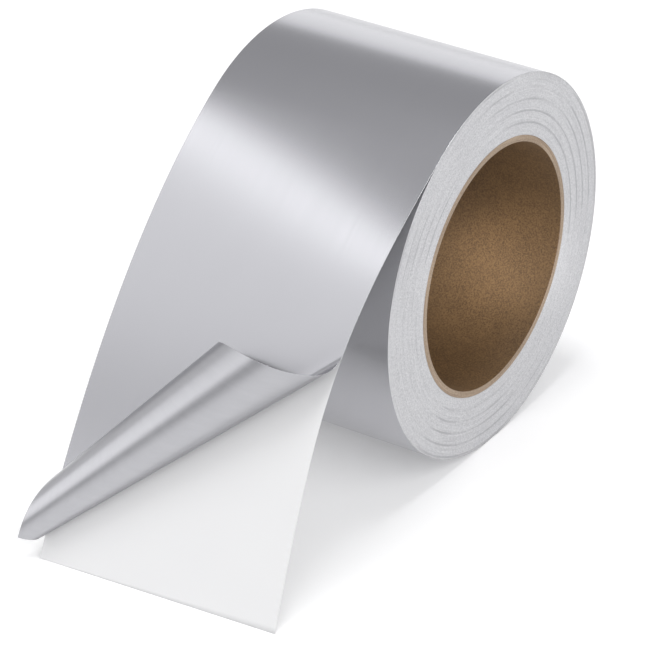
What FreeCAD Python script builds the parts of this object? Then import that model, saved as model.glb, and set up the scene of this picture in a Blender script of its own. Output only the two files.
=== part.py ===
import FreeCAD, Part
import math
import os
from FreeCAD import Vector

# Roll of self-adhesive aluminium foil tape on a cardboard core, with its end pulled off the roll.
# The release paper under the foil still lies against the tape, and the foil is peeled back off it
# from one corner, rolled up into a slack cone.
#
# Frame: the roll's axis is the Y axis and the origin is the middle of the core's bore.
# +Z is up, the roll stands on its rim, and the free end runs down towards -X to the same floor.
# "Near" is the -Y edge of the tape and "far" is the +Y edge.

# ---------------------------------------------------------------- driving dimensions, mm, degrees
BORE_RADIUS = 38.1        # 3 inch core, 76.2 mm bore
CORE_WALL = 2.0
TAPE_WIDTH = 78.0
FOIL = 0.10               # aluminium foil with its adhesive
LINER = 0.10              # release paper
TURNS = 95.5              # layers of foil and liner between core and rim
FLAT_WIDTH = 6.0          # width of the flat that the roll's weight presses into its lowest turns

# relief of the turns on both end faces: one spiral groove, cut where bundles of turns part
GROOVE_TURNS = 3
GROOVE_PITCH = 3.6
GROOVE_WIDTH = 0.6
GROOVE_DEPTH = 0.3
GROOVE_START = 4.4        # from the rim to the groove's outer end

# the free end: each long edge is a cubic curve from the roll down to the floor
LEAVE_ANGLE = 31.66       # where the tape leaves the roll, past its top towards -X
LEAVE_PULL_NEAR = 60.0    # length of each edge's handle where it leaves
LEAVE_PULL_FAR = 22.0
LAND_PULL_NEAR = 70.65    # length of each edge's handle where it lands
LAND_PULL_FAR = 80.81
LAND_ANGLE_NEAR = 59.17   # slope below the horizon where it lands
LAND_ANGLE_FAR = 55.07
LAND_TURN_NEAR = 12.33    # how far it has turned towards -Y where it lands
LAND_TURN_FAR = 8.96
REACH_NEAR = 63.43        # from the rim's side to where the edge lands
REACH_FAR = 68.14
DRIFT = 3.55              # how far the end has strayed towards -Y

# the peel: the foil lifts off the liner along a line that runs across the tape from edge to edge
PEEL_NEAR = 83.06         # from the cut end back to that line, along the near edge
PEEL_FAR = 9.14           # and along the far edge
CURL_NEAR = 14.7          # radius of the rolled-up cone at the line's near end
CURL_FAR = 6.32           # and at its far end
LIFT_OFF = 4.0            # how steeply the foil parts from the liner at the line
SHEER_STRIP = 0.3         # the foil just past the line stays flat, this angle wide from the point
LIFT_SHARE = 0.40         # the tight bend where the foil lifts, as a share of the cone's radius
LIFT_ANGLE = 101.6        # how far that bend turns
WIDE_ANGLE = 137.0        # how far the wide bend after it turns, at the cone's full radius
INNER_SHARE = 0.42        # the first half turn that rolls in, as a share of the cone's radius
INNER_SHRINK = 0.86       # each further half turn against the one before
INNER_HALVES = 6          # half turns to spare inside: the foil ends within them
CORNER_NIP = 0.8          # the hidden corner of the foil is nipped off this wide

# how finely the sheets are divided
STRIP_ROWS = 12           # rows of facets from the roll to the peel line, and on from there
STRIP_COLUMNS = 8         # facets across the tape
ROW_CROWDING = 1.5        # over 1, the rows crowd towards the roll, where the tape hugs the rim
BEND_STEP = 10.0          # most that one smooth piece of the rolled-up foil bends

# ---------------------------------------------------------------- sizes that follow
PLY = FOIL + LINER
HALF_WIDTH = TAPE_WIDTH / 2
CORE_RADIUS = BORE_RADIUS + CORE_WALL
RIM_RADIUS = CORE_RADIUS + TURNS * PLY
FACE_RADIUS = RIM_RADIUS - FOIL                     # where foil and liner meet in the last turn
AXIS = Vector(0, 1, 0)


def around(angle, radius, y=0.0):
    """The point at an angle from the roll's top, counted towards -X, about the roll's axis."""
    turn = math.radians(angle)
    return Vector(-radius * math.sin(turn), y, radius * math.cos(turn))


def downhill(slope, sideways=0.0):
    """Unit vector towards -X that falls at this many degrees and turns this many towards -Y."""
    fall, turn = math.radians(slope), math.radians(sideways)
    return Vector(-math.cos(fall) * math.cos(turn), -math.cos(fall) * math.sin(turn), -math.sin(fall))


# The rim is a spiral of two half circles whose centres lie a quarter of a ply either side of the
# axis, so that it closes with a step of one ply where the free end leaves.
UPPER_CENTRE = around(LEAVE_ANGLE, PLY / 4)
LOWER_CENTRE = around(LEAVE_ANGLE, -PLY / 4)
UPPER_RADIUS = RIM_RADIUS - PLY / 4
LOWER_RADIUS = RIM_RADIUS - 3 * PLY / 4
FLOOR = LOWER_CENTRE.z - math.sqrt(LOWER_RADIUS ** 2 - (FLAT_WIDTH / 2) ** 2)


# ---------------------------------------------------------------- core
def make_core():
    """Cardboard tube, cut to the width of the tape."""
    tube = Part.makeCylinder(CORE_RADIUS, TAPE_WIDTH, Vector(0, -HALF_WIDTH, 0), AXIS)
    return tube.cut(Part.makeCylinder(BORE_RADIUS, TAPE_WIDTH, Vector(0, -HALF_WIDTH, 0), AXIS))


# ---------------------------------------------------------------- wound tape
def half_turn(centre, radius, start, y):
    """Half a circle about a centre near the axis, from an angle backwards."""
    first, middle, last = (centre + around(start - swing, radius, y) for swing in (0, 90, 180))
    return Part.Arc(first, middle, last).toShape()


def make_groove(face, inward):
    """Spiral V groove in the end face at y = face, as the solid to cut away."""
    reach = 1.5                                     # the cutter's height in groove depths
    cutters = []
    for half in range(2 * GROOVE_TURNS):
        side = 1 if half % 2 == 0 else -1
        centre = around(LEAVE_ANGLE, side * GROOVE_PITCH / 4)
        radius = RIM_RADIUS - GROOVE_START - (2 * half + 1) * GROOVE_PITCH / 4
        start = LEAVE_ANGLE - 180 * half
        half_mouth = reach * GROOVE_WIDTH / 2
        mouth = face - inward * (reach - 1) * GROOVE_DEPTH
        corners = [
            centre + around(start, radius - half_mouth, mouth),
            centre + around(start, radius + half_mouth, mouth),
            centre + around(start, radius, face + inward * GROOVE_DEPTH),
        ]
        profile = Part.Face(Part.makePolygon(corners + corners[:1]))
        cutters.append(profile.revolve(centre, AXIS, 180))
    return cutters[0].multiFuse(cutters[1:])


def make_wound_tape():
    """All the turns as one body: spiral rim, round hole for the core, grooved end faces."""
    first = half_turn(UPPER_CENTRE, UPPER_RADIUS, LEAVE_ANGLE, -HALF_WIDTH)
    second = half_turn(LOWER_CENTRE, LOWER_RADIUS, LEAVE_ANGLE - 180, -HALF_WIDTH)
    step = Part.makeLine(second.Vertexes[-1].Point, first.Vertexes[0].Point)
    rim = Part.Face(Part.Wire([first, second, step]))
    body = rim.extrude(AXIS * TAPE_WIDTH)
    body = body.cut(Part.makeCylinder(CORE_RADIUS, TAPE_WIDTH, Vector(0, -HALF_WIDTH, 0), AXIS))
    below = Part.makeBox(2 * RIM_RADIUS, TAPE_WIDTH, RIM_RADIUS,
                         Vector(-RIM_RADIUS, -HALF_WIDTH, FLOOR - RIM_RADIUS))
    body = body.cut(below)
    for face, inward in ((-HALF_WIDTH, 1), (HALF_WIDTH, -1)):
        body = body.cut(make_groove(face, inward))
    return body


# ---------------------------------------------------------------- free end: its two long edges
NEAR_SHAPE = (-1, LEAVE_PULL_NEAR, LAND_PULL_NEAR, LAND_ANGLE_NEAR, LAND_TURN_NEAR, REACH_NEAR)
FAR_SHAPE = (1, LEAVE_PULL_FAR, LAND_PULL_FAR, LAND_ANGLE_FAR, LAND_TURN_FAR, REACH_FAR)


def tail_edge(side, leave_pull, land_pull, land_angle, land_turn, reach, lift=0.0):
    """Cubic curve along one long edge, raised by lift off the face between foil and liner."""
    start = around(LEAVE_ANGLE, FACE_RADIUS, side * HALF_WIDTH)
    floor_gap = LINER * math.cos(math.radians(land_angle))
    end = Vector(-RIM_RADIUS - reach, side * HALF_WIDTH - DRIFT, FLOOR + floor_gap)
    start_handle = start + downhill(LEAVE_ANGLE) * leave_pull
    end_handle = end - downhill(land_angle, land_turn) * land_pull
    start_lift = around(LEAVE_ANGLE, lift)
    end_lift = around(land_angle, lift)
    curve = Part.BezierCurve()
    curve.setPoles([start + start_lift, start_handle + start_lift,
                    end_handle + end_lift, end + end_lift])
    return curve


def tail_edges(lift=0.0):
    """The near and the far edge curve of the free end."""
    return tail_edge(*NEAR_SHAPE, lift), tail_edge(*FAR_SHAPE, lift)


NEAR_EDGE, FAR_EDGE = tail_edges()
PEEL_NEAR_AT = NEAR_EDGE.parameterAtDistance(NEAR_EDGE.length() - PEEL_NEAR)
PEEL_FAR_AT = FAR_EDGE.parameterAtDistance(FAR_EDGE.length() - PEEL_FAR)
PEEL_START = NEAR_EDGE.value(PEEL_NEAR_AT)
PEEL_END = FAR_EDGE.value(PEEL_FAR_AT)
PEEL_LENGTH = PEEL_START.distanceToPoint(PEEL_END)
PEEL_WAY = (PEEL_END - PEEL_START).normalize()
PEEL_DOWN = NEAR_EDGE.tangent(PEEL_NEAR_AT)[0] + FAR_EDGE.tangent(PEEL_FAR_AT)[0]
PEEL_NORMAL = FreeCAD.Rotation(PEEL_WAY, LIFT_OFF).multVec(PEEL_WAY.cross(PEEL_DOWN)).normalize()


def edge_at(peel_at, stage):
    """Parameter on an edge curve: stage 0 is the roll, 1 the peel line and 2 the cut end."""
    if stage <= 1:
        return peel_at * stage
    return peel_at + (1 - peel_at) * (stage - 1)


# ---------------------------------------------------------------- peeled foil: a rolled-up cone
# Flat on the bench, straight lines from the cone's point fan out over the peeled foil. The point
# lies on the peel line's extension past the far edge. Rolled up, those lines stay straight and
# the foil bends about them in a row of round bends, each a cone that touches the one before.
TAPER = (CURL_NEAR - CURL_FAR) / PEEL_LENGTH
APEX_DISTANCE = CURL_NEAR / TAPER                                 # from the line's near end
APEX = PEEL_START + PEEL_WAY * APEX_DISTANCE
FLAT_SHARE = math.pi / 2 / TAPER                                  # a cone opened out to a disc
BENDS = [(FLAT_SHARE, SHEER_STRIP), (LIFT_SHARE, LIFT_ANGLE), (1.0, WIDE_ANGLE)]
BENDS += [(INNER_SHARE * INNER_SHRINK ** half, 180.0) for half in range(INNER_HALVES)]

# the same cone's point and the foil's borders, flat: bearings are counted from the near edge
PEEL_BEARING = math.asin(TAPE_WIDTH / PEEL_LENGTH)
APEX_UP = APEX_DISTANCE * math.cos(PEEL_BEARING) - PEEL_NEAR      # cut end to the cone's point
APEX_OUT = APEX_DISTANCE * math.sin(PEEL_BEARING)                 # near edge to the cone's point
FAR_CORNER = math.atan2(APEX_OUT - TAPE_WIDTH, APEX_UP) - PEEL_BEARING
NEAR_CORNER = math.atan2(APEX_OUT - CORNER_NIP, APEX_UP) - PEEL_BEARING


def turned_at(swing):
    """How many degrees the foil has bent at an angle from the peel line, seen from the point."""
    turned = 0.0
    for share, span in BENDS:
        pace = math.sin(share * TAPER)
        part = min(math.degrees(swing / pace), span)
        turned += part
        swing -= math.radians(part) * pace
    return turned


def curl_line(turned):
    """The straight line of the cone where the foil has bent this many degrees.

    Returns its angle from the peel line when flat, its direction away from the cone's point and
    the normal of the foil there.
    """
    swing, ruling, normal = 0.0, PEEL_WAY * -1, PEEL_NORMAL
    for share, span in BENDS:
        half_angle = share * TAPER
        part = min(turned, span)
        spine = (ruling * math.cos(half_angle) + normal * math.sin(half_angle)) * -1
        bend = FreeCAD.Rotation(spine, part)
        ruling, normal = bend.multVec(ruling), bend.multVec(normal)
        swing += math.radians(part) * math.sin(half_angle)
        turned -= part
    return swing, ruling, normal


# ---------------------------------------------------------------- thin sheets
def facets(rows):
    """Flat triangles over rows of points, two to a cell."""
    faces = []
    for row, further in zip(rows, rows[1:]):
        for index in range(len(row) - 1):
            first = [row[index], row[index + 1], further[index + 1]]
            second = [further[index + 1], further[index], row[index]]
            faces += [Part.Face(Part.makePolygon(corners + corners[:1]))
                      for corners in (first, second)]
    return faces


def strip_facets(layers):
    """Facets over both layers of a strip and along its two edges. A layer is rows of points."""
    faces = facets(layers[0]) + facets(layers[1])
    for side in (0, -1):
        faces += facets([[row[side], over[side]] for row, over in zip(*layers)])
    return faces


def rail(point_at, stops):
    """Smooth edges through the points that point_at gives, one from each stop to the next."""
    edges = []
    for first, last in zip(stops, stops[1:]):
        curve = Part.BSplineCurve()
        shares = [step / 3 for step in range(4)]
        points = [point_at(first + (last - first) * share) for share in shares]
        curve.interpolate(Points=points, Parameters=shares)
        edges.append(curve.toShape())
    return edges


def rail_faces(rails):
    """Smooth faces between the four rails of a strip, in order round its section."""
    faces = []
    for index, rail_edges in enumerate(rails):
        for edge, other in zip(rail_edges, rails[index - 1]):
            faces.append(Part.makeRuledSurface(edge, other, 1))
    return faces


def solid_of(faces):
    shell = Part.makeShell(faces)
    shell.sewShape()
    solid = Part.makeSolid(shell)
    if solid.Volume < 0:
        solid.reverse()
    return solid


def even_stops(first, last, count):
    return [first + (last - first) * index / count for index in range(count + 1)]


def across(near, far):
    """A row of points on the straight line from edge to edge."""
    return [near + (far - near) * share for share in even_stops(0, 1, STRIP_COLUMNS)]


def roll_stages():
    """The rows of facets from the roll to the peel line."""
    return [share ** ROW_CROWDING for share in even_stops(0, 1, STRIP_ROWS)]


def strip_row(edges, stage):
    """A row of points on a pair of edge curves: stage 0 is the roll, 1 the peel line, 2 the cut end."""
    return across(edges[0].value(edge_at(PEEL_NEAR_AT, stage)),
                  edges[1].value(edge_at(PEEL_FAR_AT, stage)))


# ---------------------------------------------------------------- foil's free end
def curl_point(border, turned, lift):
    """A point on one border of the rolled-up foil, raised off its adhesive face."""
    swing, ruling, normal = curl_line(turned)
    if border == "near":
        reach = APEX_OUT / math.sin(PEEL_BEARING + swing)
    elif swing <= FAR_CORNER:
        reach = (APEX_OUT - TAPE_WIDTH) / math.sin(PEEL_BEARING + swing)
    else:
        reach = APEX_UP / math.cos(PEEL_BEARING + swing)
    return APEX + ruling * reach + normal * lift


def make_foil_tail():
    """The foil's free end: on the liner down to the peel line, rolled up beyond it."""
    far_turned, near_turned = turned_at(FAR_CORNER), turned_at(NEAR_CORNER)
    far_count = math.ceil((far_turned - SHEER_STRIP) / BEND_STEP)
    near_count = math.ceil((near_turned - far_turned) / BEND_STEP)
    stops = even_stops(SHEER_STRIP, far_turned, far_count)
    stops += even_stops(far_turned, near_turned, near_count)[1:]

    layers = []
    for lift in (0.0, FOIL):
        rows = []
        for stage in roll_stages():
            normal = (around(LEAVE_ANGLE, 1) * (1 - stage) + PEEL_NORMAL * stage).normalize()
            rows.append([point + normal * lift for point in strip_row((NEAR_EDGE, FAR_EDGE), stage)])
        layers.append(rows)
    faces = strip_facets(layers) + facets([layers[0][0], layers[1][0]])

    rails, sheer = [], []
    for lift, rows in zip((0.0, FOIL), layers):
        ends = [curl_point(border, SHEER_STRIP, lift) for border in ("near", "far")]
        outline = rows[-1] + ends[::-1]
        faces.append(Part.Face(Part.makePolygon(outline + outline[:1])))
        sheer.append(([rows[-1][0], ends[0]], [rows[-1][-1], ends[1]]))
        pair = [rail(lambda turned: curl_point(border, turned, lift), stops)
                for border in ("near", "far")]
        rails += pair if lift == 0 else pair[::-1]
    faces += facets([sheer[0][0], sheer[1][0]]) + facets([sheer[0][1], sheer[1][1]])
    faces += rail_faces(rails)
    tips = [edges[-1].Vertexes[-1].Point for edges in rails]
    faces += facets([tips[:2], tips[:1:-1]])
    return solid_of(faces)


# ---------------------------------------------------------------- release paper's free end
def make_liner_tail():
    """The release paper under it, down to its square-cut end on the floor."""
    stages = roll_stages() + even_stops(1, 2, STRIP_ROWS)[1:]
    layers = [[strip_row(edges, stage) for stage in stages]
              for edges in (tail_edges(), tail_edges(-LINER))]
    faces = strip_facets(layers)
    for end in (0, -1):
        faces += facets([layers[0][end], layers[1][end]])
    return solid_of(faces)


# ---------------------------------------------------------------- build
NODES = {
    "core": make_core,
    "wound_tape": make_wound_tape,
    "foil_tail": make_foil_tail,
    "liner_tail": make_liner_tail,
}

os.makedirs("parts", exist_ok=True)
for name, make in NODES.items():
    shape = make()
    shape.exportStep("parts/" + name + ".step")
    box = shape.BoundBox
    print(name, "solids", len(shape.Solids), "valid", shape.isValid(), "volume", round(shape.Volume, 1),
          "box", [round(v, 2) for v in (box.XMin, box.YMin, box.ZMin, box.XMax, box.YMax, box.ZMax)])
print("edges", round(NEAR_EDGE.length(), 2), round(FAR_EDGE.length(), 2), "rim radius", RIM_RADIUS,
      "floor", round(FLOOR, 3), "foil bent", round(turned_at(FAR_CORNER)), round(turned_at(NEAR_CORNER)))
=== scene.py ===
# %% [markdown]
# # A roll of aluminium foil tape
#
# Thin aluminium foil with adhesive on its back is wound on a cardboard core, and a strip of
# release paper, the liner, keeps the turns from sticking. Here the end has been pulled off the
# roll, and the foil is peeled back off its liner and has rolled itself up into a slack cone.
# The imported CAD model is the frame. Each of its four solids gets a finer piece in its place.

# %% Load the frame
import math

import bmesh
import bpy
from mathutils import Matrix, Quaternion, Vector, noise


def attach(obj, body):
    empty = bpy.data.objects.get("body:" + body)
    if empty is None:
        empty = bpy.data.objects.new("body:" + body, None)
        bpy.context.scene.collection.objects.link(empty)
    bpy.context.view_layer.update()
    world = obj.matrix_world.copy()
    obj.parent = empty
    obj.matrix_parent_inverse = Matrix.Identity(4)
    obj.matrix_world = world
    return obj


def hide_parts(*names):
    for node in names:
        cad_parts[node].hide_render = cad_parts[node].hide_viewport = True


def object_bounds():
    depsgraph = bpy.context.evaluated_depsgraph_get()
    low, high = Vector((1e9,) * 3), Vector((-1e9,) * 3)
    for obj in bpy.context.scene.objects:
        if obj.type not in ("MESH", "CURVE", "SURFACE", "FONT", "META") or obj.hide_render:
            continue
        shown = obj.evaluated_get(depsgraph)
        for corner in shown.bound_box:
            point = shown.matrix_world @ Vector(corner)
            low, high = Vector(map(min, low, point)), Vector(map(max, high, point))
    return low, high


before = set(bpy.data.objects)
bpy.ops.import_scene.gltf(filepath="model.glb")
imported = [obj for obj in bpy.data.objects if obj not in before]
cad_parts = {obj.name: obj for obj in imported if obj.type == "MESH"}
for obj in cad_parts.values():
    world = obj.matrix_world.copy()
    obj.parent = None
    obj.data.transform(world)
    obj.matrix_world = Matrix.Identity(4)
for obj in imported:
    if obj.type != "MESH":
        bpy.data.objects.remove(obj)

cad_low, cad_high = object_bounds()
print("CAD box", [round(v, 4) for v in (*cad_low, *cad_high)])

# %% [markdown]
# ## Sizes
#
# Every length is in metres, so millimetres are multiplied by MM. The roll's axis is the Y axis,
# +Z is up, and the free end runs down towards -X. "Near" is the tape's -Y edge. These are the
# same sizes that the CAD solids are built from, so that each piece fills its solid's place.

# %% Sizes
MM = 0.001
BORE_RADIUS = 38.1 * MM
CORE_WALL = 2.0 * MM
CORE_RADIUS = BORE_RADIUS + CORE_WALL
TAPE_WIDTH = 78.0 * MM
HALF_WIDTH = TAPE_WIDTH / 2
FOIL = 0.10 * MM
LINER = 0.10 * MM
PLY = FOIL + LINER
TURNS = 95.5
RIM_RADIUS = CORE_RADIUS + TURNS * PLY
FACE_RADIUS = RIM_RADIUS - FOIL
FLOOR = cad_low.z

LEAVE_ANGLE = math.radians(31.66)
LEAVE_PULL = {"near": 60.0 * MM, "far": 22.0 * MM}
LAND_PULL = {"near": 70.65 * MM, "far": 80.81 * MM}
LAND_ANGLE = {"near": math.radians(59.17), "far": math.radians(55.07)}
LAND_TURN = {"near": math.radians(12.33), "far": math.radians(8.96)}
REACH = {"near": 63.43 * MM, "far": 68.14 * MM}
DRIFT = 3.55 * MM
SIDE = {"near": -1, "far": 1}

PEEL = {"near": 83.06 * MM, "far": 9.14 * MM}
CURL_NEAR = 14.7 * MM
CURL_FAR = 6.32 * MM
LIFT_OFF = math.radians(4.0)
SHEER_STRIP = 0.3
# Each bend is its size, as a share of the widest one, and the degrees that it turns.
BENDS = [(0.40, 101.6), (1.0, 137.0)]
BENDS += [(0.42 * 0.86 ** half, 180.0) for half in range(6)]
CORNER_NIP = 0.8 * MM
print("rim radius", round(RIM_RADIUS, 5), "floor", round(FLOOR, 5))

# %% [markdown]
# ## Sheets that start out flat
#
# Foil and paper don't stretch: whatever shape they hang in, they were cut flat. So each sheet
# starts as Blender's flat grid, with its UV map laid out as the flat sheet, and is then carried
# row by row to its place. One function gives the point for a place along and across the tape.
# Pushing a finished surface about by hand would stretch the pattern on it. The first and last
# cells across are a hair wide, so that smooth shading doesn't round off the cut edges.

# %% Carry a flat sheet to its place
HAIR = 0.0008


def held(share, count):
    """Even spacing, but with a hair-thin first and last cell that keep a cut edge crisp."""
    inner = round(share * count) - 1
    if inner < 0:
        return 0.0
    if inner > count - 2:
        return 1.0
    return HAIR + (1 - 2 * HAIR) * inner / (count - 2)


def make_sheet(name, rows, columns, place, flat_length):
    """A grid of rows along the tape and columns across it, each vertex put where place says."""
    mesh = bmesh.new()
    bmesh.ops.create_grid(mesh, x_segments=rows, y_segments=columns, size=0.5, calc_uvs=True)
    for vert in mesh.verts:
        vert.co.y = held(vert.co.y + 0.5, columns) - 0.5
    uv_layer = mesh.loops.layers.uv.verify()
    for face in mesh.faces:
        for loop in face.loops:
            along, across = loop.vert.co.x + 0.5, loop.vert.co.y + 0.5
            loop[uv_layer].uv = (along * flat_length, across * TAPE_WIDTH)
    for vert in mesh.verts:
        vert.co = place(vert.co.x + 0.5, vert.co.y + 0.5)
    bmesh.ops.recalc_face_normals(mesh, faces=mesh.faces)
    mesh.faces.ensure_lookup_table()
    if mesh.faces[0].normal.dot(mesh.faces[0].calc_center_median()) < 0:
        bmesh.ops.reverse_faces(mesh, faces=mesh.faces)
    return finish_mesh(name, mesh)


def finish_mesh(name, mesh, smooth=True):
    """Puts a bmesh into the scene as an object at the origin."""
    for face in mesh.faces:
        face.smooth = smooth
    data = bpy.data.meshes.new(name)
    mesh.to_mesh(data)
    mesh.free()
    piece = bpy.data.objects.new(name, data)
    bpy.context.scene.collection.objects.link(piece)
    print(name, len(data.vertices), "vertices", len(data.polygons), "faces")
    return piece


# %% [markdown]
# ## Where the free end runs
#
# Each long edge of the free end is one cubic curve: it leaves the roll along its skin and comes
# down to the floor. The two edges land at different slopes, because the peeled foil pulls one
# corner round. A straight line from edge to edge gives every point between.

# %% The two long edges
def around(angle, radius, y=0.0):
    """The point at an angle from the roll's top, counted towards -X."""
    return Vector((-radius * math.sin(angle), y, radius * math.cos(angle)))


def downhill(slope, sideways=0.0):
    """Unit vector towards -X that falls at this slope and turns this much towards -Y."""
    flat = math.cos(slope)
    return Vector((-flat * math.cos(sideways), -flat * math.sin(sideways), -math.sin(slope)))


def edge_handles(edge):
    """The four handles of a long edge's cubic, on the face between foil and liner."""
    start = around(LEAVE_ANGLE, FACE_RADIUS, SIDE[edge] * HALF_WIDTH)
    landing = FLOOR + LINER * math.cos(LAND_ANGLE[edge])
    end = Vector((-RIM_RADIUS - REACH[edge], SIDE[edge] * HALF_WIDTH - DRIFT, landing))
    leaving = start + downhill(LEAVE_ANGLE) * LEAVE_PULL[edge]
    arriving = end - downhill(LAND_ANGLE[edge], LAND_TURN[edge]) * LAND_PULL[edge]
    return start, leaving, arriving, end


HANDLES = {edge: edge_handles(edge) for edge in SIDE}


def edge_point(edge, share):
    a, b, c, d = HANDLES[edge]
    back = 1 - share
    return a * back ** 3 + b * 3 * back ** 2 * share + c * 3 * back * share ** 2 + d * share ** 3


def edge_way(edge, share):
    a, b, c, d = HANDLES[edge]
    back = 1 - share
    way = (b - a) * back ** 2 + (c - b) * 2 * back * share + (d - c) * share ** 2
    return way.normalized()


# %% [markdown]
# ## Lengths along the edges
#
# A tape is marked out flat, so the peel line's two ends are known by how far they lie from the
# cut end. A cubic has no plain formula for its length, so many short straight pieces are added up.

# %% Lengths along the edges
def edge_lengths(edge, steps=400):
    """Length of the edge up to each of many even shares."""
    lengths = [0.0]
    for step in range(steps):
        piece = edge_point(edge, (step + 1) / steps) - edge_point(edge, step / steps)
        lengths.append(lengths[-1] + piece.length)
    return lengths


def share_at_length(edge, length):
    lengths = edge_lengths(edge)
    step = next(index for index, value in enumerate(lengths) if value >= length)
    part = (length - lengths[step - 1]) / (lengths[step] - lengths[step - 1])
    return (step - 1 + part) / (len(lengths) - 1)


EDGE_LENGTH = {edge: edge_lengths(edge)[-1] for edge in SIDE}
PEEL_AT = {edge: share_at_length(edge, EDGE_LENGTH[edge] - PEEL[edge]) for edge in SIDE}
print("edge lengths", {edge: round(length, 4) for edge, length in EDGE_LENGTH.items()})

# %% [markdown]
# ## The peeled foil: a cone that rolls in on itself
#
# A foil that lets go of its liner along a slanting line can only bend along straight lines. Laid
# flat, those lines fan out from one point, the cone's point. Turning the foil a little about each
# line in turn rolls it up, and since nothing stretches, the rolled foil is still a true strip.

# %% The cone's point
PEEL_START = edge_point("near", PEEL_AT["near"])
PEEL_END = edge_point("far", PEEL_AT["far"])
PEEL_LENGTH = (PEEL_END - PEEL_START).length
PEEL_WAY = (PEEL_END - PEEL_START).normalized()
PEEL_DOWN = edge_way("near", PEEL_AT["near"]) + edge_way("far", PEEL_AT["far"])
PEEL_NORMAL = Quaternion(PEEL_WAY, LIFT_OFF) @ PEEL_WAY.cross(PEEL_DOWN).normalized()
TAPER = (CURL_NEAR - CURL_FAR) / PEEL_LENGTH
ALL_BENDS = [(math.pi / 2 / TAPER, SHEER_STRIP)] + BENDS
APEX_DISTANCE = CURL_NEAR / TAPER
APEX = PEEL_START + PEEL_WAY * APEX_DISTANCE

PEEL_BEARING = math.asin(TAPE_WIDTH / PEEL_LENGTH)
APEX_UP = APEX_DISTANCE * math.cos(PEEL_BEARING) - PEEL["near"]
APEX_OUT = APEX_DISTANCE * math.sin(PEEL_BEARING)
FAR_CORNER = math.atan2(APEX_OUT - TAPE_WIDTH, APEX_UP) - PEEL_BEARING
NEAR_CORNER = math.atan2(APEX_OUT - CORNER_NIP, APEX_UP) - PEEL_BEARING
print("peel line", round(PEEL_LENGTH, 4), "cone's point from its near end", round(APEX_DISTANCE, 4))


# %% [markdown]
# ## One bend after another
#
# The foil doesn't roll up evenly. It lifts in a tight bend, goes over the top in a wide one, and
# rolls in by half turns that get smaller. Each bend is a cone that touches the one before it along
# a line, so there is no kink between them. A single round cone would look like a paper cornet.

# %% The cone's fan of lines
def turned_at(swing):
    """How many degrees the foil has bent at an angle from the peel line, seen from the point."""
    turned = 0.0
    for share, span in ALL_BENDS:
        pace = math.sin(share * TAPER)
        part = min(math.degrees(swing / pace), span)
        turned += part
        swing -= math.radians(part) * pace
    return turned


def curl_line(turned):
    """The cone's line where the foil has bent this far: its flat angle, its way and its normal."""
    swing, ruling, normal = 0.0, -PEEL_WAY, PEEL_NORMAL.copy()
    for share, span in ALL_BENDS:
        half_angle = share * TAPER
        part = min(turned, span)
        spine = -(ruling * math.cos(half_angle) + normal * math.sin(half_angle))
        bend = Quaternion(spine, math.radians(part))
        ruling, normal = bend @ ruling, bend @ normal
        swing += math.radians(part) * math.sin(half_angle)
        turned -= part
    return swing, ruling, normal


FAR_TURNED, NEAR_TURNED = turned_at(FAR_CORNER), turned_at(NEAR_CORNER)
print("foil bent", round(FAR_TURNED), "to", round(NEAR_TURNED), "degrees")


# %% [markdown]
# ## The last turn
#
# Foil and liner lie once more round the roll before they leave it. A tape is wound in a spiral, so
# the turn is two half circles about two centres, half a ply apart, and it ends one ply further out
# than it began. It rests on the floor, where the weight presses it flat. On a plain circle the
# turn's beginning would lie in the very place where its end leaves the roll.

# %% Places on the last turn
def on_roll(share, across, lift):
    """A point of the last turn, raised off the face between foil and liner."""
    wound_back = 2 * math.pi * (1 - share)
    upper = wound_back < math.pi
    centre = around(LEAVE_ANGLE, PLY / 4 if upper else -PLY / 4)
    radius = FACE_RADIUS - (PLY / 4 if upper else 3 * PLY / 4) + lift
    point = centre + around(LEAVE_ANGLE - wound_back, radius, (across - 0.5) * TAPE_WIDTH)
    point.z = max(point.z, FLOOR + PLY + lift)
    return point


print("last turn goes from", [[round(v, 5) for v in on_roll(share, 0, 0)] for share in (0, 1)])


# %% [markdown]
# ## The free end
#
# Between its two long edges the tape hangs straight from side to side. Towards the peel line the
# foil's outer side is turned to face the way the cone starts, so that the two meet without a step.

# %% Places on the free end
def on_tail(stage, across, lift):
    """A point of the free end: stage 0 is the roll, 1 the peel line and 2 the cut end."""
    def share(edge):
        if stage <= 1:
            return PEEL_AT[edge] * stage
        return PEEL_AT[edge] + (1 - PEEL_AT[edge]) * (stage - 1)
    near, far = (edge_point(edge, share(edge)) for edge in SIDE)
    near_way, far_way = (edge_way(edge, share(edge)) for edge in SIDE)
    way = near_way.lerp(far_way, across)
    normal = (far - near).cross(way).normalized()
    if 0 < stage <= 1 and lift > 0:
        normal = normal.lerp(PEEL_NORMAL, stage ** 4).normalized()
    return near.lerp(far, across) + normal * lift


print("cut end goes from", [[round(v, 5) for v in on_tail(2, across, 0)] for across in (0, 1)])


# %% [markdown]
# ## On the cone
#
# Every line of the cone starts at the near edge. It ends at the far edge or, once that edge is
# used up, at the square cut. Both ends are measured on the flat sheet from the cone's point, so
# the rolled foil has the borders of a real strip. Trimming a finished cone would need them guessed.

# %% Places on the cone
def on_curl(turned, across, lift):
    """A point of the rolled-up foil."""
    swing, ruling, normal = curl_line(turned)
    near_reach = APEX_OUT / math.sin(PEEL_BEARING + swing)
    if turned <= FAR_TURNED:
        far_reach = (APEX_OUT - TAPE_WIDTH) / math.sin(PEEL_BEARING + swing)
    else:
        far_reach = APEX_UP / math.cos(PEEL_BEARING + swing)
    return APEX + ruling * (near_reach + (far_reach - near_reach) * across) + normal * lift


print("rolled-up corner at", [round(v, 5) for v in on_curl(NEAR_TURNED, 0, 0)])


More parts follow.
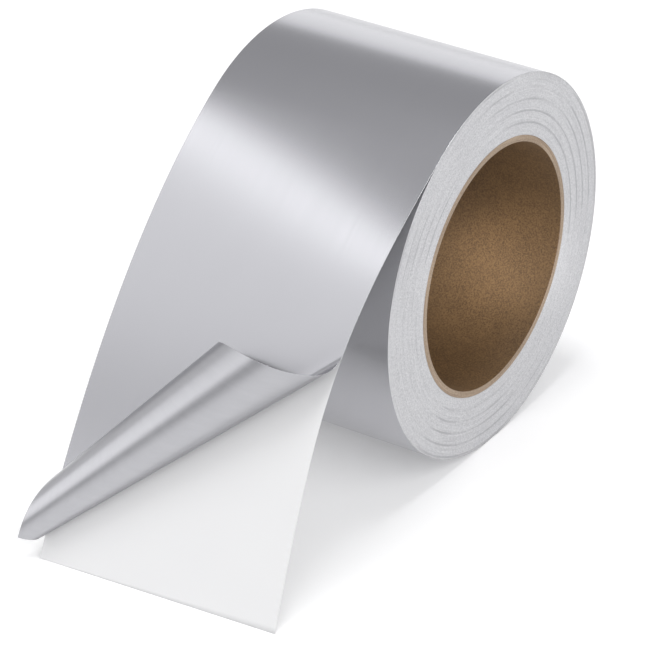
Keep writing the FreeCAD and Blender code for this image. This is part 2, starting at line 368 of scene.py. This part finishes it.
# %% [markdown]
# ## The foil
#
# The foil piece is one sheet from end to end: the last turn, the free end down to the peel line,
# and the cone. Rows are spent where the sheet bends most. A live modifier gives the sheet its
# thickness, a little less than its solid's, so that it stays inside. The back takes the second
# finish: outside is bright foil, and inside, which the cone turns out, is the adhesive.

# %% Foil sheet
TURN_ROWS, TAIL_ROWS, CURL_ROWS, SHEET_COLUMNS = 200, 60, 220, 26
SHEET_SHARE = 0.84


def foil_place(along, across):
    """A point of the foil at a share of its length and of its width."""
    row = along * (TURN_ROWS + TAIL_ROWS + CURL_ROWS)
    lift = FOIL / 2
    if row <= TURN_ROWS:
        return on_roll(row / TURN_ROWS, across, lift)
    row -= TURN_ROWS
    if row <= TAIL_ROWS:
        return on_tail(row / TAIL_ROWS, across, lift)
    share = (row - TAIL_ROWS) / CURL_ROWS
    return on_curl(NEAR_TURNED * share, across, lift)


def thicken(piece, thickness, back_finish=0):
    """Gives a sheet its thickness, half to each side. The back may take a finish of its own."""
    solidify = piece.modifiers.new("thickness", "SOLIDIFY")
    solidify.thickness = thickness
    solidify.offset = 0.0
    solidify.material_offset = back_finish
    return piece


SHEET_LENGTH = 2 * math.pi * RIM_RADIUS + sum(EDGE_LENGTH.values()) / 2
foil_sheet = make_sheet("foil_sheet", TURN_ROWS + TAIL_ROWS + CURL_ROWS, SHEET_COLUMNS,
                        foil_place, SHEET_LENGTH)
thicken(foil_sheet, FOIL * SHEET_SHARE, back_finish=1)


# %% [markdown]
# ## The liner
#
# The release paper lies under the foil, leaves the roll with it and ends in a square cut on the
# floor. It is the same flat sheet again, carried along the same two edges, one layer lower.

# %% Liner sheet
LINER_TURN_ROWS, LINER_TAIL_ROWS = 120, 120


def liner_place(along, across):
    """A point of the liner at a share of its length and of its width."""
    row = along * (LINER_TURN_ROWS + LINER_TAIL_ROWS)
    lift = -LINER / 2
    if row <= LINER_TURN_ROWS:
        return on_roll(row / LINER_TURN_ROWS, across, lift)
    return on_tail(2 * (row - LINER_TURN_ROWS) / LINER_TAIL_ROWS, across, lift)


liner_sheet = make_sheet("liner_sheet", LINER_TURN_ROWS + LINER_TAIL_ROWS, SHEET_COLUMNS,
                         liner_place, SHEET_LENGTH)
thicken(liner_sheet, LINER * SHEET_SHARE)


# %% [markdown]
# ## The wound turns
#
# Seen from the end, the turns are about a hundred pairs of fine edges, and bundles of them stand
# a little proud or sunk. A few single turns lie deeper and show as grooves. A profile from the
# core to the rim carries that relief, since it is much the same all the way round.

# %% Profile of the end face
FACE_STEP = 0.32 * MM
BUNDLE_WIDTH = 1.1 * MM
BUNDLE_DEPTH = 0.05 * MM
GROOVE_COUNT = 4
GROOVE_FIRST = 4.5 * MM
GROOVE_SPACING = 3.6 * MM
GROOVE_WIDTH = 0.24 * MM
GROOVE_DEPTH = 0.12 * MM


def face_relief(depth_from_rim):
    """How far the end face is sunk at a distance from the rim."""
    sunk = BUNDLE_DEPTH * (noise.noise(Vector((depth_from_rim / BUNDLE_WIDTH, 3.1, 0))) + 1)
    for groove in range(GROOVE_COUNT):
        off = (depth_from_rim - GROOVE_FIRST - GROOVE_SPACING * groove) / GROOVE_WIDTH
        sunk += GROOVE_DEPTH * math.exp(-off * off)
    return sunk


def wound_profile():
    """Radius and height of one side of the section, from the core out to the rim."""
    body_radius = RIM_RADIUS - PLY
    steps = round((body_radius - CORE_RADIUS) / FACE_STEP)
    profile = []
    for step in range(steps + 1):
        radius = CORE_RADIUS + (body_radius - CORE_RADIUS) * step / steps
        profile.append((radius, HALF_WIDTH - face_relief(RIM_RADIUS - radius)))
    return profile


side = wound_profile()
print("end face of", len(side), "points, up to", round(HALF_WIDTH - min(y for _, y in side), 6), "deep")


# %% [markdown]
# ## Spinning the turns
#
# Spinning the profile about the axis makes the body and keeps its lines round, as winding does.
# The body is then drawn in by one ply over one turn, so that it lies under the last turn of the
# sheets all the way. Winding a real spiral of a hundred turns would cost a hundred times the faces.

# %% Wound tape
WIND_STEPS = 256


def spin_profile(profile):
    """Spins a closed section, given as radius and distance along the axis, about the Y axis."""
    mesh = bmesh.new()
    ring = [mesh.verts.new((radius, y, 0)) for radius, y in profile]
    edges = [mesh.edges.new(pair) for pair in zip(ring, ring[1:] + ring[:1])]
    bmesh.ops.spin(mesh, geom=ring + edges, cent=(0, 0, 0), axis=(0, 1, 0),
                   angle=2 * math.pi, steps=WIND_STEPS, use_merge=True)
    bmesh.ops.remove_doubles(mesh, verts=mesh.verts, dist=1e-6)
    bmesh.ops.recalc_face_normals(mesh, faces=mesh.faces)
    return mesh


section = [(radius, -y) for radius, y in side] + [(radius, y) for radius, y in reversed(side)]
wound_mesh = spin_profile(section)
ONE_STEP = 2 * math.pi / WIND_STEPS
for vert in wound_mesh.verts:
    wound_back = (LEAVE_ANGLE - math.atan2(-vert.co.x, vert.co.z)) % (2 * math.pi)
    if wound_back < ONE_STEP:
        wound_back += 2 * math.pi
    radius = math.hypot(vert.co.x, vert.co.z)
    depth = (radius - CORE_RADIUS) / (RIM_RADIUS - PLY - CORE_RADIUS)
    shrink = 1 - PLY * depth * wound_back / (2 * math.pi) / radius
    vert.co.x *= shrink
    vert.co.z = max(vert.co.z * shrink, FLOOR + PLY)
wound_body = finish_mesh("wound_body", wound_mesh)


# %% [markdown]
# ## The core
#
# The core is a tube of kraft board, cut to the tape's width. Board doesn't keep a sharp corner, so
# the section is a rectangle with its corners slightly rounded. Rounding four corners before the
# spin is simpler than bevelling four rings of edges after it.

# %% Core
CORE_CORNER = 0.12 * MM
ARC_CUT = 0.29


def round_corners(section, radius):
    """Rounds each corner of a four-cornered section with two short cuts."""
    rounded = []
    for index, corner in enumerate(section):
        before, after = Vector(section[index - 1]), Vector(section[(index + 1) % 4])
        corner = Vector(corner)
        to_before = (before - corner).normalized()
        to_after = (after - corner).normalized()
        rounded.append(corner + to_before * radius)
        rounded.append(corner + (to_before + to_after) * radius * ARC_CUT)
        rounded.append(corner + to_after * radius)
    return [tuple(point) for point in rounded]


core_section = [(BORE_RADIUS, -HALF_WIDTH), (CORE_RADIUS, -HALF_WIDTH),
                (CORE_RADIUS, HALF_WIDTH), (BORE_RADIUS, HALF_WIDTH)]
core_mesh = spin_profile(round_corners(core_section, CORE_CORNER))
core_tube = finish_mesh("core_tube", core_mesh)


# %% [markdown]
# ## Shader maths in plain words
#
# A material is a graph of nodes, but sums read better as sums. Field wraps one socket, so that
# ordinary operators add Math nodes. Linking each Math node by hand would take a line for each.

# %% Field
class Field:
    """A number that changes over the surface."""

    def __init__(self, finish, socket):
        self.finish = finish
        self.socket = socket

    def _math(self, operation, first, second=None):
        values = {0: first} if second is None else {0: first, 1: second}
        node = self.finish.node("ShaderNodeMath", {"operation": operation}, values)
        return Field(self.finish, node.outputs[0])

    def __add__(self, other):
        return self._math("ADD", self, other)

    def __radd__(self, other):
        return self._math("ADD", other, self)

    def __sub__(self, other):
        return self._math("SUBTRACT", self, other)

    def __rsub__(self, other):
        return self._math("SUBTRACT", other, self)

    def __mul__(self, other):
        return self._math("MULTIPLY", self, other)

    def __rmul__(self, other):
        return self._math("MULTIPLY", other, self)

    def __truediv__(self, other):
        return self._math("DIVIDE", self, other)

    def __rtruediv__(self, other):
        return self._math("DIVIDE", other, self)

    def root(self):
        return self._math("SQRT", self)

    def size(self):
        return self._math("ABSOLUTE", self)

    def fraction(self):
        return self._math("FRACT", self)

    def step(self, low, high):
        """0 below low and 1 above high, smooth between."""
        node = self.finish.node("ShaderNodeMapRange", {"interpolation_type": "SMOOTHSTEP"},
                                {"Value": self, "From Min": low, "From Max": high})
        return Field(self.finish, node.outputs[0])


# %% [markdown]
# ## One material and its nodes
#
# Finish makes one material and adds any node to it by one method: a node's settings come first,
# because they decide which sockets it has. Noise, blends and bumps are short names for that method.

# %% Finish
class Finish:
    """One material, with its Principled shader."""

    def __init__(self, name):
        self.material = bpy.data.materials.new(name)
        self.material.use_nodes = True
        self.tree = self.material.node_tree
        self.shader = self.tree.nodes["Principled BSDF"]

    def node(self, kind, settings=None, inputs=None):
        """Adds a node: its settings first, then the values or links of its sockets."""
        made = self.tree.nodes.new(kind)
        for key, value in (settings or {}).items():
            setattr(made, key, value)
        for key, value in (inputs or {}).items():
            self.feed(made.inputs[key], value)
        return made

    def feed(self, socket, value):
        """Links a field or a socket, or sets a plain value."""
        if isinstance(value, Field):
            value = value.socket
        if isinstance(value, bpy.types.NodeSocket):
            self.tree.links.new(value, socket)
        else:
            socket.default_value = value

    def place(self, kind="Object"):
        return self.node("ShaderNodeTexCoord").outputs[kind]

    def parts(self, vector):
        split = self.node("ShaderNodeSeparateXYZ", None, {0: vector})
        return [Field(self, socket) for socket in split.outputs]

    def join(self, x, y, z):
        return self.node("ShaderNodeCombineXYZ", None, {0: x, 1: y, 2: z}).outputs[0]

    def grain(self, vector, scale, detail=3.0, roughness=0.5):
        """Noise between about 0.2 and 0.8."""
        made = self.node("ShaderNodeTexNoise", None, {"Vector": vector, "Scale": scale,
                                                      "Detail": detail, "Roughness": roughness})
        return Field(self, made.outputs[0])

    def blend(self, factor, first, second):
        """A colour between two."""
        made = self.node("ShaderNodeMix", {"data_type": "RGBA"}, {0: factor, 6: first, 7: second})
        return made.outputs[2]

    def bump(self, height, distance, strength=1.0):
        made = self.node("ShaderNodeBump", None, {"Height": height, "Distance": distance,
                                                  "Strength": strength})
        return made.outputs[0]

    def set(self, inputs):
        """Feeds the Principled shader's sockets by name."""
        for key, value in inputs.items():
            self.feed(self.shader.inputs[key], value)


def paint(piece, *finishes):
    """Gives a piece its finishes: the first for its outside, a second for a sheet's back."""
    for finish in finishes:
        piece.data.materials.append(finish.material)
        print(piece.name, "has", finish.material.name, len(finish.tree.nodes), "nodes")


# %% [markdown]
# ## Foil
#
# Rolled aluminium is a satin mirror: bright, a little blue, with streaks that run the way it went
# through the rollers. The streaks follow the sheet's own UV map, so they bend with it.
# Scratches drawn in the object's own space would run straight through the rolled-up cone.

# %% Foil finish
foil = Finish("satin_foil")
flat_along, flat_across, _ = foil.parts(foil.place("UV"))
streaks = foil.grain(foil.join(flat_along * 14, flat_across * 900, 0), 1.0, 4.0, 0.6)
cloud = foil.grain(foil.join(flat_along * 22, flat_across * 30, 4), 1.0, 2.0)
foil.set({
    "Base Color": foil.blend(cloud, (0.51, 0.51, 0.535, 1), (0.54, 0.54, 0.565, 1)),
    "Metallic": 1.0,
    "Roughness": 0.20 + streaks * 0.06,
    "Normal": foil.bump(streaks, 0.00001, 0.06),
})

# %% [markdown]
# ## The foil's adhesive side
#
# The back of the foil shines through a thin clear coat of adhesive, spread by a roller. It is a
# duller and rougher mirror than the front, with shorter streaks. A layer of glue as a mesh of its
# own would be far thinner than anything that shows.

# %% Adhesive side finish
sticky = Finish("adhesive_side")
sticky_along, sticky_across, _ = sticky.parts(sticky.place("UV"))
coat_streaks = sticky.grain(sticky.join(sticky_along * 60, sticky_across * 420, 0), 1.0, 3.0, 0.6)
sticky.set({
    "Base Color": sticky.blend(coat_streaks, (0.42, 0.42, 0.44, 1), (0.48, 0.48, 0.50, 1)),
    "Metallic": 1.0,
    "Roughness": 0.29 + coat_streaks * 0.06,
    "Normal": sticky.bump(coat_streaks, 0.00001, 0.1),
})
paint(foil_sheet, foil, sticky)

# %% [markdown]
# ## Liner paper
#
# Release paper is smooth and white with a silicone sheen. Only a very fine fibre and a soft
# unevenness show, so the roughness varies gently and the bump is slight.

# %% Liner finish
paper = Finish("release_paper")
paper_place = paper.place()
fibre = paper.grain(paper_place, 2600.0, 3.0)
sheet_cloud = paper.grain(paper_place, 30.0, 2.0)
paper.set({
    "Base Color": paper.blend(sheet_cloud, (0.77, 0.77, 0.775, 1), (0.80, 0.80, 0.80, 1)),
    "Roughness": 0.42 + sheet_cloud * 0.12,
    "Normal": paper.bump(fibre, 0.00001, 0.2),
})
paint(liner_sheet, paper)

# %% [markdown]
# ## The wound edges
#
# The end face is made of the cut edges of foil and paper in turn: a pale speckled grey with fine
# broken rings, where single edges catch the light. Rings follow the distance from the axis, and a
# noise drawn out along the ring breaks them up. In patches the grooves are painted a little
# darker: painted shade that shows the shallow grooves as dark rings.

# %% Wound edges finish
edges = Finish("wound_edges")
x, y, z = edges.parts(edges.place())
distance = (x * x + z * z).root()
ring_fine = edges.grain(edges.join(distance * 5200, x * 55, z * 55), 1.0, 2.0, 0.7)
ring_broad = edges.grain(edges.join(distance * 900, x * 8, z * 8), 1.0, 2.0)
speckle = edges.grain(edges.place(), 2100.0, 2.0, 0.8)
lines = ring_fine * 0.35 + speckle * 0.65
# Patches where the grooves get their painted shade.
groove_shade_patches = edges.grain(edges.place(), 28.0, 1.0).step(0.45, 0.60)
in_turn = (RIM_RADIUS - GROOVE_FIRST - distance) / GROOVE_SPACING
off_groove = ((in_turn + 0.5).fraction() - 0.5).size()
past_last = in_turn.step(GROOVE_COUNT - 0.80, GROOVE_COUNT - 0.53)
# Painted shade: the grooves are darkened inside those patches, up to the last groove.
groove = (1.0 - off_groove.step(0.028, 0.125)) * groove_shade_patches * (1.0 - past_last)
pale = edges.blend(lines.step(0.33, 0.67), (0.45, 0.45, 0.467, 1), (0.70, 0.70, 0.713, 1))
edges.set({
    "Base Color": edges.blend(groove * 0.45, pale, (0.25, 0.25, 0.27, 1)),
    "Metallic": ring_fine.step(0.5, 0.8) * 0.2,
    "Roughness": 0.42 + ring_broad * 0.2,
    "Normal": edges.bump(lines + ring_broad, 0.00012, 0.6),
})
paint(wound_body, edges)

# %% [markdown]
# ## Kraft board
#
# The bore is rough brown kraft with short fibres that lie every way, and the cut rims show paler
# board. The place along the axis tells the rims from the bore, so one finish serves both.

# %% Kraft finish
kraft = Finish("kraft_board")
kraft_x, kraft_y, kraft_z = kraft.parts(kraft.place())
kraft_distance = (kraft_x * kraft_x + kraft_z * kraft_z).root()
fibres = kraft.grain(kraft.place(), 1900.0, 3.0, 0.75)
mottle = kraft.grain(kraft.place(), 160.0, 3.0)
rim = kraft_y.size().step(HALF_WIDTH - 0.10 * MM, HALF_WIDTH - 0.02 * MM)
layers = kraft.grain(kraft.join(kraft_distance * 3500, kraft_x * 60, kraft_z * 60), 1.0, 2.0)
shade = (fibres * 0.88 + mottle * 0.12).step(0.33, 0.67)
rim_shade = (fibres * 0.6 + layers * 0.4).step(0.35, 0.65)
bore_colour = kraft.blend(shade, (0.079, 0.037, 0.007, 1), (0.207, 0.113, 0.038, 1))
rim_colour = kraft.blend(rim_shade, (0.24, 0.165, 0.105, 1), (0.44, 0.335, 0.24, 1))
kraft.set({
    "Base Color": kraft.blend(rim, bore_colour, rim_colour),
    "Roughness": 0.65 + fibres * 0.15,
    "Specular IOR Level": 0.8,
    "Normal": kraft.bump(fibres + mottle, 0.00012, 0.6),
})
paint(core_tube, kraft)

# %% [markdown]
# ## Tie the pieces to the frame
#
# Each piece moves with the one body and stands in for its CAD solid, which is hidden. The name of
# its slot in the record is printed beside it.

# %% Ride and replace
for piece, node, slot_name in (
    (core_tube, "core", "core_board"),
    (wound_body, "wound_tape", "foil"),
    (foil_sheet, "foil_tail", "foil"),
    (liner_sheet, "liner_tail", "liner_paper"),
):
    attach(piece, "root")
    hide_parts(node)
    print(piece.name, "stands in for", node, "with the finish of slot", slot_name)

# %% [markdown]
# ## Floor
#
# The roll stands on a white sheet that runs on past the picture's edge. The floor's colour does
# the whiteness: a small glow that only the camera and mirrors see lifts it to white, and the
# lamps' shadow still shows on it. It lies a hair below the roll, so that the two never share a
# face.

# %% Floor
FLOOR_REACH = 12.0
FLOOR_GAP = 0.02 * MM
FLOOR_GLOW = 0.17
floor_mesh = bmesh.new()
bmesh.ops.create_grid(floor_mesh, x_segments=1, y_segments=1, size=FLOOR_REACH)
bmesh.ops.translate(floor_mesh, verts=floor_mesh.verts, vec=(0, 0, FLOOR - FLOOR_GAP))
floor = finish_mesh("floor", floor_mesh, smooth=False)
floor_white = Finish("white_floor")
floor_white.set({"Base Color": (0.94, 0.94, 0.94, 1), "Roughness": 0.9, "Specular IOR Level": 0.0})
light_path = floor_white.node("ShaderNodeLightPath")
seen = Field(floor_white, light_path.outputs["Is Camera Ray"]) + Field(
    floor_white, light_path.outputs["Is Glossy Ray"]) + Field(
    floor_white, light_path.outputs["Is Transmission Ray"])
glow = floor_white.node("ShaderNodeEmission", None,
                        {"Color": (1, 1, 1, 1), "Strength": seen * FLOOR_GLOW})
lit = floor_white.node("ShaderNodeAddShader", None,
                       {0: floor_white.shader.outputs[0], 1: glow.outputs[0]})
floor_white.tree.links.new(lit.outputs[0], floor_white.tree.nodes["Material Output"].inputs[0])
paint(floor, floor_white)

# %% [markdown]
# ## Light
#
# Foil shows what stands round it. A plain grey surrounding gives its middle tone. A soft box high
# behind the roll, with a thin brighter strip over it, lays the bright band across the tape. A wide
# and a low one under it light the tape's foot and the cone. One low down beyond the roll gives the
# pale strip along its top edge. One overhead throws the shadow on the floor, and one beside the
# camera lights the paper and the end face.

# %% World and soft boxes
world = bpy.data.worlds.new("studio")
bpy.context.scene.world = world
world.use_nodes = True
world.node_tree.nodes["Background"].inputs["Color"].default_value = (0.46, 0.46, 0.47, 1)


def soft_box(name, way, distance, width, height, radiance):
    """A rectangular lamp that looks at the roll from a direction."""
    lamp = bpy.data.lights.new(name, "AREA")
    lamp.shape = "RECTANGLE"
    lamp.size, lamp.size_y = width, height
    lamp.energy = radiance * math.pi * width * height
    holder = bpy.data.objects.new(name, lamp)
    way = Vector(way).normalized()
    holder.location = way * distance
    holder.rotation_euler = way.to_track_quat("Z", "Y").to_euler()
    bpy.context.scene.collection.objects.link(holder)
    print(name, round(lamp.energy, 2), "W")


# Each box has its name, its way from the roll, its distance, its width and height, its radiance.
soft_box("box_behind", (-0.427, 0.589, 0.686), 1.5, 1.1, 0.69, 0.66)
soft_box("box_behind_core", (-0.286, 0.538, 0.793), 1.4, 0.9, 0.17, 0.95)
soft_box("box_behind_low", (-0.670, 0.692, 0.255), 1.5, 1.4, 0.36, 1.20)
soft_box("box_behind_wide", (-0.417, 0.878, 0.235), 1.5, 2.4, 0.74, 0.42)
soft_box("box_low", (0.85, 0.487, 0.23), 1.5, 0.7, 0.69, 0.75)
soft_box("box_above", (0.0, 0.0, 1.0), 1.5, 0.5, 0.5, 10.0)
soft_box("box_front", (-0.34, -0.72, 0.60), 1.7, 1.7, 1.3, 1.8)

# %% [markdown]
# ## Spots into the core
#
# The dark board inside the core would swallow the light of the soft boxes. Two small spots with
# soft edges shine in through the near end, side by side, and lay one band of light over the wall
# that the camera sees. A larger lamp would spill onto the end face.

# %% Spots into the core
SPOT_WAY = Vector((-0.72, -0.52, 0.45)).normalized()
SPOT_DISTANCE = 1.0
SPOT_POWER = 22.0
SPOT_SPREAD = math.radians(2.6)
SPOT_SIZE = 4.0 * MM
SPOT_AIMS = [(-8.0 * MM, -HALF_WIDTH, -3.0 * MM), (14.0 * MM, -HALF_WIDTH, -3.0 * MM)]
for aim in SPOT_AIMS:
    spot = bpy.data.lights.new("spot_into_core", "SPOT")
    spot.energy = SPOT_POWER
    spot.spot_size = SPOT_SPREAD
    spot.spot_blend = 1.0
    spot.shadow_soft_size = SPOT_SIZE
    holder = bpy.data.objects.new("spot_into_core", spot)
    holder.location = Vector(aim) + SPOT_WAY * SPOT_DISTANCE
    holder.rotation_euler = SPOT_WAY.to_track_quat("Z", "Y").to_euler()
    bpy.context.scene.collection.objects.link(holder)
    print(holder.name, "stands at", [round(v, 3) for v in holder.location])

# %% [markdown]
# ## Camera
#
# A long lens from far off keeps the roll's end almost round. The camera looks down at it from
# the -X, -Y side.

# %% Camera
AZIMUTH, ELEVATION = math.radians(-56.808), math.radians(29.788)
CAMERA_ASIDE = -18.182 * MM
CAMERA_RAISED = -26.883 * MM
CAMERA_AWAY = 1204.07 * MM
SENSOR_WIDTH = 36.0
LENS = 225.24279
back = Vector((math.sin(AZIMUTH) * math.cos(ELEVATION),
               -math.cos(AZIMUTH) * math.cos(ELEVATION), math.sin(ELEVATION)))
right = Vector((math.cos(AZIMUTH), math.sin(AZIMUTH), 0))
up = back.cross(right)
camera_data = bpy.data.cameras.new("camera")
camera_data.sensor_width = SENSOR_WIDTH
camera_data.lens = LENS
camera_data.clip_end = 50.0
camera = bpy.data.objects.new("camera", camera_data)
camera.matrix_world = Matrix((right, up, back)).transposed().to_4x4()
camera.location = right * CAMERA_ASIDE + up * CAMERA_RAISED + back * CAMERA_AWAY
bpy.context.scene.collection.objects.link(camera)
bpy.context.scene.camera = camera
bpy.context.scene.view_settings.view_transform = "Standard"
print("camera at", [round(v, 3) for v in camera.location])
